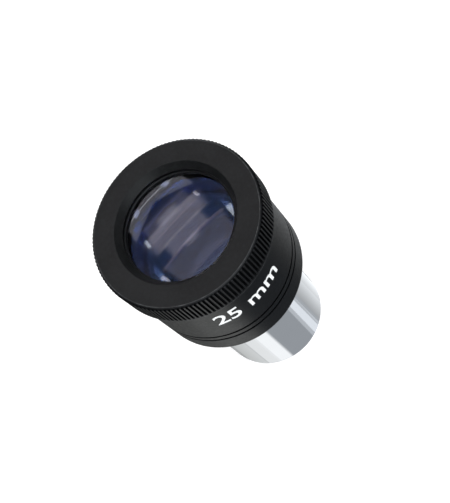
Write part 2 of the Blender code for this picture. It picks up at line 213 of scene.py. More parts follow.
def radial_cutter(radius, start_r, end_r, z, columns=64):
    """A cylinder on the +Y side whose axis is radial."""
    verts, faces = [], []
    for y in (start_r, end_r):
        for j in range(columns):
            angle = 2 * math.pi * j / columns
            verts.append((radius * math.cos(angle), y, z + radius * math.sin(angle)))
    for j in range(columns):
        k = (j + 1) % columns
        faces.append((j, k, columns + k, columns + j))
    faces.append(tuple(range(columns - 1, -1, -1)))
    faces.append(tuple(range(columns, 2 * columns)))
    made = mesh_object("cutter", verts, faces)
    bm = bmesh.new()
    bm.from_mesh(made.data)
    bmesh.ops.recalc_face_normals(bm, faces=bm.faces)
    bm.to_mesh(made.data)
    bm.free()
    return made


def box_cutter(size, centre):
    bm = bmesh.new()
    bmesh.ops.create_cube(bm, size=1.0)
    bmesh.ops.scale(bm, vec=[s * MM for s in size], verts=bm.verts)
    bmesh.ops.translate(bm, vec=[c * MM for c in centre], verts=bm.verts)
    mesh = bpy.data.meshes.new("cutter")
    bm.to_mesh(mesh)
    bm.free()
    return link_object("cutter", mesh)


def check_size(obj, node):
    """The fine piece has to be the size of the CAD node it stands for."""
    low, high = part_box(node)
    bpy.context.view_layer.update()
    corners = [obj.matrix_world @ Vector(c) for c in obj.bound_box]
    for axis in range(3):
        places = [c[axis] for c in corners]
        misfit = max(abs(min(places) - low[axis]), abs(max(places) - high[axis]))
        if misfit > SIZE_TOLERANCE:
            raise ValueError("%s misses %s by %s on axis %d" % (obj.name, node, misfit, axis))


def stands_for(obj, node, body, material):
    check_size(obj, node)
    obj.data.materials.clear()
    obj.data.materials.append(material)
    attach(obj, body)
    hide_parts(node)


def turned(name, node, body, material, corners, columns=160, cutters=()):
    """A ring or tube turned from (r, z, fillet) corners, put in its node's place."""
    made = lathe(name, rounded(corners), columns)
    if cutters:
        carve(made, cutters)
    stands_for(made, node, body, material)
    return made


def ring_section(outer, inner, top, bottom, fillet, low_inner_fillet):
    """Corners of a rectangular ring section."""
    return [
        (outer, top, fillet),
        (outer, bottom, fillet),
        (inner, bottom, low_inner_fillet),
        (inner, top, fillet),
    ]


# =====================================================================
# shader helpers
# =====================================================================
class Value:
    """A node's output. Arithmetic on it adds maths nodes to its graph."""

    def __init__(self, graph, socket):
        self.graph = graph
        self.socket = socket

    def math(self, operation, other=None):
        return self.graph.math(operation, self, other)

    def __abs__(self):
        return self.math("ABSOLUTE")

    def __add__(self, other):
        return self.math("ADD", other)

    def __sub__(self, other):
        return self.math("SUBTRACT", other)

    def __mul__(self, other):
        return self.math("MULTIPLY", other)

    def __truediv__(self, other):
        return self.math("DIVIDE", other)

    def __pow__(self, other):
        return self.math("POWER", other)

    def __radd__(self, other):
        return self.graph.math("ADD", other, self)

    def __rsub__(self, other):
        return self.graph.math("SUBTRACT", other, self)

    def __rmul__(self, other):
        return self.graph.math("MULTIPLY", other, self)

    def step(self, low, high):
        """0 below low, 1 above high, smooth between."""
        return self.graph.value(
            "ShaderNodeMapRange",
            "Result",
            {"Value": self, "From Min": low, "From Max": high},
            interpolation_type="SMOOTHSTEP",
            clamp=True,
        )

    def band(self, low, high, soft):
        """1 between low and high, with soft edges."""
        return self.step(low - soft, low + soft) * (1.0 - self.step(high - soft, high + soft))

    def range(self, over, to=(0.0, 1.0)):
        """Maps one interval on another, clamped at its ends."""
        ends = {"From Min": over[0], "From Max": over[1], "To Min": to[0], "To Max": to[1]}
        return self.graph.value(
            "ShaderNodeMapRange", "Result", {"Value": self, **ends}, clamp=True
        )


class Graph:
    """The nodes of a material or a world, emptied at the start."""

    def __init__(self, owner):
        owner.use_nodes = True
        self.tree = owner.node_tree
        self.tree.nodes.clear()

    def add(self, kind, inputs=(), **settings):
        made = self.tree.nodes.new(kind)
        for key, setting in settings.items():
            setattr(made, key, setting)
        self.set(made, inputs)
        return made

    def set(self, node, inputs):
        """Links or sets a node's inputs, given by name or number."""
        for key, value in dict(inputs).items():
            if isinstance(value, Value):
                self.tree.links.new(value.socket, node.inputs[key])
            elif value is not None:
                node.inputs[key].default_value = value

    def value(self, kind, output, inputs=(), **settings):
        return Value(self, self.add(kind, inputs, **settings).outputs[output])

    def math(self, operation, first, second=None):
        return self.value("ShaderNodeMath", 0, {0: first, 1: second}, operation=operation)

    def mix(self, factor, first, second):
        colours = {0: factor, 6: first, 7: second}
        return self.value("ShaderNodeMix", 2, colours, data_type="RGBA")

    def noise(self, vector, scale, detail=3.0, rough=0.5):
        inputs = {"Vector": vector, "Scale": scale, "Detail": detail, "Roughness": rough}
        return self.value("ShaderNodeTexNoise", "Fac", inputs)

    def split(self, vector):
        node = self.add("ShaderNodeSeparateXYZ", {0: vector})
        return [Value(self, socket) for socket in node.outputs]

    def bump(self, height, strength, distance):
        inputs = {"Strength": strength, "Distance": distance, "Height": height}
        return self.value("ShaderNodeBump", 0, inputs)


def new_material(name):
    """A material, its graph, its shader, and the object coordinates in metres."""
    made = bpy.data.materials.new(name)
    graph = Graph(made)
    shader = graph.add("ShaderNodeBsdfPrincipled")
    graph.add("ShaderNodeOutputMaterial", {"Surface": Value(graph, shader.outputs[0])})
    return made, graph, shader, graph.value("ShaderNodeTexCoord", "Object")


def radius_mm(x, y):
    return (x * x + y * y).math("SQRT") * 1000.0


def azimuth(x, y):
    """Bearing about Z, in turns."""
    return y.math("ARCTAN2", x) / (2 * math.pi)


def largest(values):
    return functools.reduce(lambda most, value: most.math("MAXIMUM", value), values)


def rgb(*levels):
    """An sRGB colour, 0 to 255, as the linear colour nodes take."""
    found = []
    for level in levels:
        c = level / 255
        found.append(c / 12.92 if c <= 0.04045 else ((c + 0.055) / 1.055) ** 2.4)
    return (*found, 1.0)


def times(colour, factor):
    return (*(c * factor for c in colour[:3]), 1)


# =====================================================================
# materials
# =====================================================================
def anodised(name, dark, light, rough, turned_rings, wear, edges, shaded_recesses=()):
    """Black anodised aluminium: a fine blasted grain, faint turning rings, a
    cloudy change of tone, metal that shows a little on the edges, and painted
    shade darkening its grooves and slots.

    edges are (r, z, reach of the wear). recesses are the places of the painted
    shade: (r below which it is darkest, r where the darkness ends, low z, high z)."""
    grain = 1.0  # height of the grain in the bump
    ring_pitch = 0.11
    specular = 0.25
    made, graph, shader, place = new_material(name)
    x, y, z = graph.split(place)
    r = radius_mm(x, y)
    z = z * 1000.0
    cloud = graph.noise(place, scale=130.0, detail=2.0)
    grit = graph.noise(place, scale=5200.0, detail=2.0, rough=0.6)
    grit_wide = graph.noise(place, scale=1500.0, rough=0.6)
    colour = graph.mix(cloud.range(over=(0.35, 0.65)), dark, light)
    speckle = grit_wide.range(over=(0.42, 0.75), to=(0.0, 0.5))
    colour = graph.mix(speckle, colour, times(light, 1.9))

    def near_edge(edge_r, edge_z, reach):
        away = (abs(r - edge_r) ** 2.0 + abs(z - edge_z) ** 2.0).math("SQRT")
        return 1.0 - away.step(low=reach * 0.2, high=reach)

    worn = largest([near_edge(*edge) for edge in edges])
    chips = graph.noise(place, scale=900.0, detail=4.0, rough=0.65).step(low=0.46, high=0.62)
    worn = worn * (0.35 + chips * 0.65) * wear
    colour = graph.mix(worn, colour, rgb(128, 132, 134))

    # Painted shade: cut lines and slots get a near-black colour and a dull gloss where shade falls in
    # them.
    def recess_shade(deep_r, open_r, low_z, high_z):
        shell = (1.0 - r.step(deep_r, open_r)) * r.step(low=deep_r - 1.2, high=deep_r - 1.1)
        return shell * z.band(low_z, high_z, soft=0.03)

    sunk = 0.0
    if shaded_recesses:
        sunk = largest([recess_shade(*recess) for recess in shaded_recesses])
        colour = graph.mix(sunk, colour, rgb(7, 8, 10))
    # The blasted grain shadows itself when seen along the surface.
    facing = graph.value("ShaderNodeLayerWeight", "Facing", {"Blend": 0.5})
    gloss = specular * (1.0 - facing.step(low=0.45, high=0.95) * 0.88)
    # Part of the painted shade: the grooves and slots lose most of their gloss.
    gloss = gloss * (1.0 - graph.math("MULTIPLY", sunk, 0.8))
    roughness = grit_wide.range(over=(0.3, 0.7), to=(rough - 0.05, rough + 0.06))
    rings = ((r + z) * (2 * math.pi / ring_pitch)).math("SINE")
    height = grit * grain + rings * turned_rings
    inputs = {
        "Specular IOR Level": gloss,
        "Base Color": colour,
        "Roughness": roughness - worn * 0.12,
        "Metallic": 0.0,
        "Normal": graph.bump(height, strength=0.35, distance=0.00001),
    }
    graph.set(shader, inputs)
    return made


def polished_metal(name, colour, rough, marks):
    """Bright metal with the fine rings a lathe and a buff leave; marks is their
    strength."""
    made, graph, shader, place = new_material(name)
    x, y, z = graph.split(place)
    r = radius_mm(x, y)
    # Noise stretched round the axis: fine along the surface, coarse by azimuth
    along = (z * 1000.0 + r * 0.7) * 9.0
    flat = graph.value("ShaderNodeCombineXYZ", 0, {0: along, 1: azimuth(x, y) * 3.0})
    rings = graph.noise(flat, scale=1.0, detail=4.0, rough=0.7)
    haze = graph.noise(place, scale=90.0)
    ring_rough = rings.range(over=(0.3, 0.7), to=(rough * 0.75, rough * 1.3))
    haze_rough = haze.range(over=(0.45, 0.8), to=(0.0, 0.035))
    inputs = {
        "Base Color": graph.mix(haze.range(over=(0.3, 0.7)), colour, times(colour, 0.965)),
        "Metallic": 1.0,
        "Roughness": ring_rough + haze_rough,
        "Normal": graph.bump(rings, strength=marks, distance=0.000002),
    }
    graph.set(shader, inputs)
    return made


def matt(name, dark, light, rough, scale=1800.0):
    """Dead matt paint or rubber, with its fine tooth."""
    made, graph, shader, place = new_material(name)
    tooth = graph.noise(place, scale, rough=0.6)
    inputs = {
        "Base Color": graph.mix(tooth.range(over=(0.35, 0.65)), dark, light),
        "Roughness": tooth.range(over=(0.3, 0.7), to=(rough - 0.06, rough + 0.06)),
        "Specular IOR Level": 0.25,
        "Normal": graph.bump(tooth, strength=0.4, distance=0.00002),
    }
    graph.set(shader, inputs)
    return made


def coated_glass(name, ior, tint, film=0.0, rim_r=11.1, gleam=(1, 1, 1, 1)):
    """Polished glass whose ground rim is blackened. film is the coating's
    thickness in nanometres, gleam the tint of its reflections."""
    smear_gain = 1.0
    made, graph, shader, place = new_material(name)
    x, y, z = graph.split(place)
    rim = radius_mm(x, y).step(low=rim_r, high=rim_r + 0.03)
    smear = graph.noise(place, scale=160.0, rough=0.6)
    dust = graph.noise(place, scale=2600.0, detail=1.0).step(low=0.76, high=0.8)
    smear_rough = smear.range(over=(0.55, 0.8), to=(0.0, 0.012)) * smear_gain
    inputs = {
        "Base Color": graph.mix(rim, tint, rgb(16, 16, 18)),
        "Roughness": rim * 0.6 + smear_rough,
        "Transmission Weight": 1.0 - rim.math("MAXIMUM", dust * 0.04),
        "IOR": ior,
        "Specular Tint": gleam,
        "Thin Film Thickness": film,
        "Thin Film IOR": 1.38,
    }
    graph.set(shader, inputs)
    return made


def mark_paint():
    made, graph, shader, place = new_material("mark_white_paint")
    tooth = graph.noise(place, scale=2600.0, rough=0.6)
    tone = tooth.range(over=(0.35, 0.65))
    inputs = {
        "Base Color": graph.mix(tone, rgb(222, 226, 228), rgb(238, 241, 243)),
        "Roughness": tooth.range(over=(0.3, 0.7), to=(0.42, 0.58)),
    }
    graph.set(shader, inputs)
    return made


SHADE_HALF = GROOVE_HALF + 0.02  # the painted shade band covers a groove and its lips
BLACK = anodised(
    "housing_anodised",
    dark=rgb(8, 9, 10),
    light=rgb(12, 13, 14),
    rough=0.33,
    turned_rings=0.15,
    wear=0.22,
    edges=((HOUSING_R, 20.15, 0.16), (15.4, 0.2, 0.2)),
    # Painted shade in the two grooves
    shaded_recesses=[(15.95, 15.99, z - SHADE_HALF, z + SHADE_HALF) for z in GROOVES_Z],
)
RING = anodised(
    "ring_anodised",
    dark=rgb(14, 15, 16),
    light=rgb(20, 21, 22),
    rough=0.40,
    turned_rings=0.1,
    wear=0.3,
    edges=((RING_EDGE_R, RING_TOP_Z, 0.1), (RING_R, 20.85, 0.14)),
    # Painted shade in the knurl's slots
    shaded_recesses=((16.70, 16.86, 21.0, 27.0),),
)
CELL = anodised(
    "cell_anodised",
    dark=rgb(14, 15, 17),
    light=rgb(21, 22, 24),
    rough=0.38,
    turned_rings=0.1,
    wear=0.2,
    edges=((10.85, 25.1, 0.08),),
)
BAFFLE = matt("baffle_paint", dark=rgb(8, 8, 9), light=rgb(14, 14, 15), rough=0.88)
CHROME = polished_metal("sleeve_chrome", rgb(238, 240, 243), rough=0.045, marks=0.35)
BRASS = polished_metal("turned_brass", rgb(205, 172, 105), rough=0.22, marks=0.8)
DARK_BRASS = polished_metal("blackened_brass", rgb(64, 60, 56), rough=0.35, marks=0.8)
STEEL = polished_metal("blackened_steel", rgb(96, 98, 102), rough=0.28, marks=0.8)
RUBBER = matt("ring_rubber", rgb(20, 20, 20), rgb(30, 30, 30), rough=0.7, scale=900.0)
PTFE = matt("washer_ptfe", rgb(222, 222, 216), rgb(236, 236, 231), rough=0.5, scale=700.0)
GLASS_EYE = coated_glass(
    "glass_eye_lens", ior=1.62, tint=(0.98, 0.98, 1.0, 1.0), rim_r=11.08, gleam=(1.0, 0.93, 1.0, 1.0)
)
GLASS_CROWN = coated_glass("glass_crown", ior=1.60, tint=(0.96, 0.95, 1.0, 1.0), film=130.0)
# The doublet is cemented: light passes from crown to flint almost unreflected.
CEMENT = coated_glass("optical_cement", ior=1.0001, tint=(0.98, 0.97, 1.0, 1.0))
GLASS_SEAM = coated_glass("glass_cemented_face", ior=1.04, tint=(0.96, 0.95, 1.0, 1.0))
GLASS_FLINT = coated_glass(
    "glass_flint", ior=1.46, tint=(0.95, 0.94, 1.0, 1.0), gleam=(0.05, 0.18, 0.55, 1.0)
)
GLASS_FIELD = coated_glass(
    "glass_field_lens", ior=1.52, tint=(0.95, 0.94, 1.0, 1.0), gleam=(0.04, 0.06, 0.2, 1.0)
)
PAINT = mark_paint()


# =====================================================================
# housing, sleeve and stop; corners are (r, z, fillet radius)
# =====================================================================
def groove(z):
    floor_r = HOUSING_R - GROOVE_DEPTH
    return [
        (HOUSING_R, z + GROOVE_HALF, 0.04),
        (floor_r, z + GROOVE_HALF, 0.06),
        (floor_r, z - GROOVE_HALF, 0.06),
        (HOUSING_R, z - GROOVE_HALF, 0.04),
    ]


housing = turned(
    "housing_shell", "housing", ROOT, BLACK,
    [
        (15.3, 24.0, 0.3),
        (15.3, 20.4, 0.12),
        (HOUSING_R, 20.4, 0.28),
        *groove(GROOVES_Z[0]),
        *groove(GROOVES_Z[1]),
        (HOUSING_R, 0.0, 0.85),
        (11.9, 0.0, 0.12),
        (11.9, 1.3, 0.05),
        (11.3, 1.3, 0.05),
        (11.3, 5.0, 0.1),
        (12.5, 5.0, 0.1),
        (12.5, 12.4, 0.1),
        (14.4, 12.4, 0.1),
        (14.4, 24.0, 0.15),
    ],
    columns=FINE_COLUMNS,
    cutters=[
        radial_cutter(radius=1.3, start_r=11.8, end_r=17.0, z=GUIDE_SCREW_Z),
        radial_cutter(radius=1.3, start_r=10.8, end_r=17.0, z=SLEEVE_SCREW_Z),
    ],
)

sleeve = turned(
    "sleeve_tube", "mounting_sleeve", ROOT, CHROME,
    [
        (11.0, 4.7, 0.3),
        (11.0, 1.0, 0.1),
        (11.6, 1.0, 0.08),
        (11.6, -27.2, 0.28),
        (SLEEVE_BORE_R, -27.2, 0.28),
        (SLEEVE_BORE_R, -9.0, 0.1),
        (9.9, -9.0, 0.1),
        (9.9, 4.7, 0.1),
    ],
    columns=FINE_COLUMNS,
)
# The bore is painted dead black almost to its lower end.
PAINTED_R = SLEEVE_BORE_R + 0.02
PAINTED_LOW_Z = -26.5
sleeve.data.materials.append(BAFFLE)
for poly in sleeve.data.polygons:
    centre = poly.center
    if math.hypot(centre.x, centre.y) < PAINTED_R * MM and centre.z > PAINTED_LOW_Z * MM:
        poly.material_index = 1

turned(
    "field_stop", "field_stop_ring", ROOT, BAFFLE,
    [
        (STOP_R, -9.3, 0.05),
        (STOP_R, -10.3, 0.05),
        (9.6, -10.3, 0.03),
        (9.0, -9.9, 0.02),
        (9.0, -9.7, 0.02),
        (9.2, -9.3, 0.03),
    ],
)

STOP_LOCK_Z = -12.4  # lower face, with a slot across it
turned(
    "field_stop_lock_ring", "field_stop_retainer", ROOT, BAFFLE,
    ring_section(STOP_R, 9.4, top=-10.6, bottom=STOP_LOCK_Z, fillet=0.06, low_inner_fillet=0.2),
    cutters=[box_cutter(size=(23.0, 1.0, 1.2), centre=(0, 0, STOP_LOCK_Z))],
)


def radial_screw(name, node, body, z, thread_r, tip_r, outer, shank_end, tip_end, pitch):
    """A slotted grub screw on the +Y side, pointing at the axis. outer, shank_end
    and tip_end are its stations, as distances from the eyepiece's axis."""
    length, reach = outer - shank_end, outer - tip_end
    thread_top = -0.3
    thread = []
    turns = int((length - 0.5) / pitch)
    for i in range(turns):
        top = thread_top - i * pitch
        thread += [(thread_r, top), (thread_r - 0.3 * pitch, top - pitch * 0.5)]
    profile = [
        (0.0, 0.0),
        (thread_r - 0.2, 0.0),
        (thread_r - 0.06, -0.05),
        (thread_r, -0.18),
        *thread,
        (thread_r, thread_top - turns * pitch),
        (thread_r, -length + 0.05),
        (thread_r - 0.05, -length),
        (tip_r, -length),
        (tip_r, -reach + 0.12),
        (tip_r - 0.12, -reach),
        (0.0, -reach),
    ]
    made = lathe(name, profile, columns=48, closed=False, sharp=math.radians(40))
    carve(made, [box_cutter(size=(thread_r * 2.6, 0.35, 0.9), centre=(0, 0, 0))])
    lay_radial = Matrix.Rotation(-math.pi / 2, 4, "X")
    made.data.transform(Matrix.Translation((0, outer * MM, z * MM)) @ lay_radial)
    stands_for(made, node, body, STEEL)


radial_screw(
    "guide_pin_screw", "guide_screw", ROOT, GUIDE_SCREW_Z,
    thread_r=1.0, tip_r=0.8, outer=15.7, shank_end=12.9, tip_end=11.75, pitch=0.4,
)
radial_screw(
    "sleeve_set_screw", "sleeve_lock_screw", ROOT, SLEEVE_SCREW_Z,
    thread_r=1.0, tip_r=0.7, outer=15.7, shank_end=12.0, tip_end=11.2, pitch=0.4,
)
radial_screw(
    "ring_set_screw", "ring_lock_screw", FOCUS, RING_SCREW_Z,
    thread_r=0.6, tip_r=0.4, outer=16.2, shank_end=14.9, tip_end=14.25, pitch=0.25,
)

# =====================================================================
# lens cell and optics
# =====================================================================
turned(
    "lens_cell_tube", "lens_cell_barrel", LENS_CELL, CELL,
    [
        (CELL_R, 25.2, 0.25),
        (CELL_R, 15.7, 0.1),
        (FLANGE_R, 15.7, 0.1),
        (FLANGE_R, 14.6, 0.1),
        (CELL_R, 14.6, 0.1),
        (CELL_R, 5.3, 0.2),
        (11.5, 5.3, 0.1),
        (11.5, 25.2, 0.1),
    ],
    columns=FINE_COLUMNS,
    # The upright slot that the guide screw's tip sits in
    cutters=[box_cutter(size=(2.2, 2.0, 4.7), centre=(0, 11.9, 8.75))],
)

EYE_RING_Z = 25.1
turned(
    "eye_lens_ring", "eye_lens_retainer", LENS_CELL, CELL,
    [
        (LENS_R, EYE_RING_Z, 0.06),
        (LENS_R, 24.5, 0.05),
        (10.8, 24.5, 0.03),
        (10.8, 24.95, 0.04),
        (10.95, EYE_RING_Z, 0.04),
    ],
    columns=FINE_COLUMNS,
    cutters=[box_cutter(size=(24.0, 0.9, 0.5), centre=(0, 0, EYE_RING_Z))],
)


def sag_of(curve_r, r):
    return curve_r - math.sqrt(curve_r * curve_r - r * r)


def lens_face(curve_r, edge_z, bulge, start=0.0, end=LENS_R, steps=32):
    """Profile of a spherical face, from radius start to end. Its middle is above
    (bulge 1) or below (-1) its edge, which is at edge_z where r is LENS_R."""
    apex_z = edge_z + bulge * sag_of(curve_r, LENS_R)
    radii = [start + (end - start) * i / steps for i in range(steps + 1)]
    return [(r, apex_z - bulge * sag_of(curve_r, r)) for r in radii]


def lens(name, node, material, profile, columns=128):
    made = lathe(name, profile, columns, closed=False, sharp=math.radians(20))
    stands_for(made, node, LENS_CELL, material)
    return made


def second_face(obj, material, facing):
    """Gives the lens faces that look up (1) or down (-1) their own material."""
    obj.data.materials.append(material)
    for face in obj.data.polygons:
        if face.normal.z * facing > 0.3:
            face.material_index = 1


EYE_TOP_Z, EYE_LOW_Z = 24.2, 21.1  # edges of the eye lens's faces
EYE_BEVEL = 0.16
lens(
    "eye_lens_glass",
    "eye_lens",
    GLASS_EYE,
    lens_face(32.0, EYE_TOP_Z, bulge=1, end=LENS_R - EYE_BEVEL, steps=40)
    + [(LENS_R, EYE_TOP_Z - EYE_BEVEL * 0.6), (LENS_R, EYE_LOW_Z + EYE_BEVEL * 0.8)]
    + lens_face(60.0, EYE_LOW_Z, bulge=-1, start=LENS_R - EYE_BEVEL, end=0.0),
    columns=160,
)

SEAM_CURVE_R = 24.0  # shared by the doublet's cemented faces
crown = lens(
    "doublet_crown_glass",
    "doublet_crown",
    GLASS_CROWN,
    lens_face(28.0, 17.3, bulge=1)
    + lens_face(SEAM_CURVE_R, 15.5, bulge=-1, start=LENS_R, end=0.0),
)
second_face(crown, CEMENT, facing=-1)

flint = lens(
    "doublet_flint_glass",
    "doublet_flint",
    GLASS_FLINT,
    lens_face(SEAM_CURVE_R, 15.35, bulge=-1) + [(LENS_R, 11.5), (0.0, 11.5)],
)
second_face(flint, GLASS_SEAM, facing=1)

lens(
    "field_lens_glass",
    "field_lens",
    GLASS_FIELD,
    lens_face(50.0, 9.7, bulge=1) + [(LENS_R, 7.7), (0.0, 7.7)],
)


def baffled(name, node, top, bottom, inner, steps):
    """A spacer whose bore is stepped in fine black ridges against glare."""
    valley = inner + 0.12
    corners = [(LENS_R, top, 0.06), (LENS_R, bottom, 0.06)]
    pitch = (top - bottom) / steps
    for i in range(steps):
        low = bottom + i * pitch
        corners.append((valley, low + pitch * 0.02 if i else low, 0.0))
        corners.append((inner, low + pitch * 0.5, 0.0))
    corners.append((valley, top, 0.0))
    turned(name, node, LENS_CELL, BAFFLE, corners)


baffled("eye_spacer", "upper_spacer", top=20.8, bottom=17.6, inner=10.45, steps=8)
baffled("field_spacer", "lower_spacer", top=11.2, bottom=10.0, inner=10.35, steps=3)

END_RING_Z = 5.7  # lower face, with a slot across it
turned(
    "cell_lock_ring", "cell_end_ring", LENS_CELL, BAFFLE,
    ring_section(LENS_R, 10.4, top=7.4, bottom=END_RING_Z, fillet=0.06, low_inner_fillet=0.2),
    cutters=[box_cutter(size=(24.0, 0.9, 1.0), centre=(0, 0, END_RING_Z))],
)

# =====================================================================
# knurled ring: one closed grid, with its slots milled into the columns
# =====================================================================
SLOTS = 129
SLOT_HALF = 0.262
# Across a slot: place in half widths, share of the depth
SLOT_SECTION = (
    (-1.12, 0.0), (-1.0, 0.0), (-0.84, 0.88), (0.0, 1.0), (0.84, 0.88), (1.0, 0.0), (1.12, 0.0),
)
# Each row of the slots: height, share of the width, depth. The cutter runs out
# through the lower part of the edge chamfer above, and rises to nothing below.
SLOT_ROWS = (
    (26.93, 0.40, 0.186), (26.90, 0.66, 0.235), (26.86, 0.82, 0.290), (26.82, 0.92, 0.340),
    (26.78, 0.97, 0.385), (26.70, 1.0, 0.450), (26.58, 1.0, 0.510), (26.42, 1.0, 0.545),
    (26.2, 1.0, 0.55), (25.2, 1.0, 0.55), (24.2, 1.0, 0.55), (23.2, 1.0, 0.55),
    (22.3, 1.0, 0.55), (21.8, 1.0, 0.53), (21.55, 1.0, 0.46), (21.38, 0.97, 0.36),
    (21.26, 0.88, 0.25), (21.17, 0.70, 0.15), (21.11, 0.45, 0.07), (21.07, 0.20, 0.0),
)


def skin(z):
    """Radius of the ring's own surface at that height."""
    if z <= RING_EDGE_Z:
        return RING_R
    slope = (RING_R - RING_EDGE_R) / (RING_TOP_Z - RING_EDGE_Z)
    return RING_R - (z - RING_EDGE_Z) * slope


def knurled_ring():
    # The end corners only give direction to the fillets, and are left out.
    above = [(12.2, RING_TOP_Z, 0.06), (RING_EDGE_R, RING_TOP_Z, 0.04), (RING_R, RING_EDGE_Z, 0.0)]
    below = [
        (RING_R, 23.0, 0.0),
        (RING_R, 20.69, 0.2),
        (15.6, 20.69, 0.12),
        (15.6, 24.3, 0.1),
        (14.4, 24.3, 0.1),
        (14.4, 25.5, 0.1),
        (11.1, 25.5, 0.05),
        (11.1, 25.8, 0.05),
        (12.2, RING_TOP_Z, 0.0),
    ]
    # Rows are (skin radius, z, share of the slot's width, slot depth).
    rows = [(12.17, 27.188, 1.0, 0.0), (12.22, RING_TOP_Z, 1.0, 0.0)]
    rows += [(r, z, 1.0, 0.0) for r, z in rounded(above, closed=False)[1:-1]]
    rows += [(skin(z), z, share, depth) for z, share, depth in SLOT_ROWS]
    rows += [(r, z, 1.0, 0.0) for r, z in rounded(below, closed=False)[1:-1]]
    verts = []
    for skin_r, z, share, depth in rows:
        for i in range(SLOTS):
            middle = 2 * math.pi * (i + 0.5) / SLOTS
            places = [
                (min(skin_r, RING_R - depth * deep), middle + across * SLOT_HALF * share / RING_R)
                for across, deep in SLOT_SECTION
            ]
            places.append((skin_r, middle + math.pi / SLOTS))
            verts += [(r * math.cos(angle), r * math.sin(angle), z) for r, angle in places]
    columns = SLOTS * (len(SLOT_SECTION) + 1)
    faces = []
    for i in range(len(rows)):
        upper, lower = i * columns, (i + 1) % len(rows) * columns
        for j in range(columns):
            k = (j + 1) % columns
            faces.append((upper + j, lower + j, lower + k, upper + k))
    return mesh_object("focus_grip_ring", verts, faces, math.radians(30))


grip = knurled_ring()
carve(grip, [radial_cutter(radius=0.9, start_r=13.6, end_r=18.0, z=RING_SCREW_Z, columns=48)])
stands_for(grip, "knurled_cap", FOCUS, RING)

turned(
    "helical_collar", "helicoid_collar", FOCUS, BRASS,
    [
        (COLLAR_R, 25.2, 0.2),
        (COLLAR_R, 20.5, 0.05),
        (13.5, 20.5, 0.1),
        (13.5, 19.5, 0.1),
        (COLLAR_R, 19.5, 0.05),
        (COLLAR_R, 12.7, 0.15),
        (13.4, 12.7, 0.1),
        (13.4, 16.0, 0.1),
        (COLLAR_BORE_R, 16.0, 0.1),
        (COLLAR_BORE_R, 25.2, 0.1),
    ],
    columns=192,
)

# A round rubber ring in the collar's groove
SEAL_CENTRE_R, SEAL_Z, SEAL_THICK_R, SEAL_STEPS = 13.9, 20.0, 0.3, 20
seal_profile = [
    (SEAL_CENTRE_R + SEAL_THICK_R * math.cos(t), SEAL_Z + SEAL_THICK_R * math.sin(t))
    for t in (-2 * math.pi * i / SEAL_STEPS for i in range(SEAL_STEPS))
]
seal = lathe("friction_seal", seal_profile, columns=160, sharp=math.radians(60))
stands_for(seal, "friction_o_ring", FOCUS, RUBBER)

turned(
    "slip_washer", "thrust_washer", FOCUS, PTFE,
    ring_section(FLANGE_R, COLLAR_BORE_R, 14.4, 14.05, fillet=0.04, low_inner_fillet=0.04),
)

THRUST_Z = 12.9  # lower face, with a slot across it
turned(
    "cell_thrust_ring", "thrust_ring", FOCUS, DARK_BRASS,
    ring_section(FLANGE_R, COLLAR_BORE_R, 13.8, THRUST_Z, fillet=0.05, low_inner_fillet=0.15),
    cutters=[box_cutter(size=(28.0, 1.0, 0.9), centre=(0, 0, THRUST_Z))],
)


# =====================================================================
# the printed mark: a plain focal length, wrapped round the housing
# =====================================================================
def flat_text(text):
    """The text as a flat bmesh, in the font's own size."""
    curve = bpy.data.curves.new("mark_text", "FONT")
    curve.body = text
    curve.size = 1.0
    curve.offset = 0.012
    curve.extrude = 0.0
    curve.fill_mode = "BOTH"
    curve.resolution_u = 6
    holder = link_object("mark_text", curve)
    bpy.context.view_layer.update()
    graph = bpy.context.evaluated_depsgraph_get()
    flat = bpy.data.meshes.new_from_object(holder.evaluated_get(graph))
    bpy.data.objects.remove(holder)
    bpy.data.curves.remove(curve)
    bm = bmesh.new()
    bm.from_mesh(flat)
    bpy.data.meshes.remove(flat)
    bmesh.ops.remove_doubles(bm, verts=bm.verts, dist=1e-5)
    return bm


def printed_mark(text, centre_deg, base_z, height, width):
    raised, sunk = 0.028, 0.03  # its faces, out from and into the housing's skin
    strip = 0.3  # the text is cut in upright strips so that it can bend
    bm = flat_text(text)
    across = [v.co.x for v in bm.verts]
    upward = [v.co.y for v in bm.verts]
    low_x, high_x, low_y, high_y = min(across), max(across), min(upward), max(upward)
    for v in bm.verts:
        v.co.x = (v.co.x - low_x) / (high_x - low_x) * width - width / 2
        v.co.y = (v.co.y - low_y) / (high_y - low_y) * height
    x = -width / 2 + strip
    while x < width / 2:
        geom = list(bm.verts) + list(bm.edges) + list(bm.faces)
        bmesh.ops.bisect_plane(bm, geom=geom, plane_co=(x, 0, 0), plane_no=(1, 0, 0), dist=1e-6)
        x += strip
    bmesh.ops.triangulate(bm, faces=bm.faces)
    bmesh.ops.recalc_face_normals(bm, faces=bm.faces)
    if sum(f.normal.z for f in bm.faces) < 0:
        bmesh.ops.reverse_faces(bm, faces=bm.faces)
    extruded = bmesh.ops.extrude_face_region(bm, geom=list(bm.faces))
    top = {part for part in extruded["geom"] if isinstance(part, bmesh.types.BMVert)}
    for v in bm.verts:
        r = HOUSING_R + (raised if v in top else -sunk)
        angle = math.radians(centre_deg) + v.co.x / HOUSING_R
        z = base_z + v.co.y
        v.co = Vector((r * math.cos(angle) * MM, r * math.sin(angle) * MM, z * MM))
    bmesh.ops.recalc_face_normals(bm, faces=bm.faces)
    mesh = bpy.data.meshes.new("focal_length_mark")
    bm.to_mesh(mesh)
    bm.free()
    mesh.materials.append(PAINT)
    shade(mesh)
    made = link_object("focal_length_mark", mesh)
    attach(made, ROOT)


printed_mark("25 mm", centre_deg=-93.2, base_z=12.95, height=4.1, width=15.6)

# =====================================================================
# stage, in metres: floor, world, lamps and camera
# =====================================================================
FLOOR_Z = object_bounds()[0][2] - 0.00005


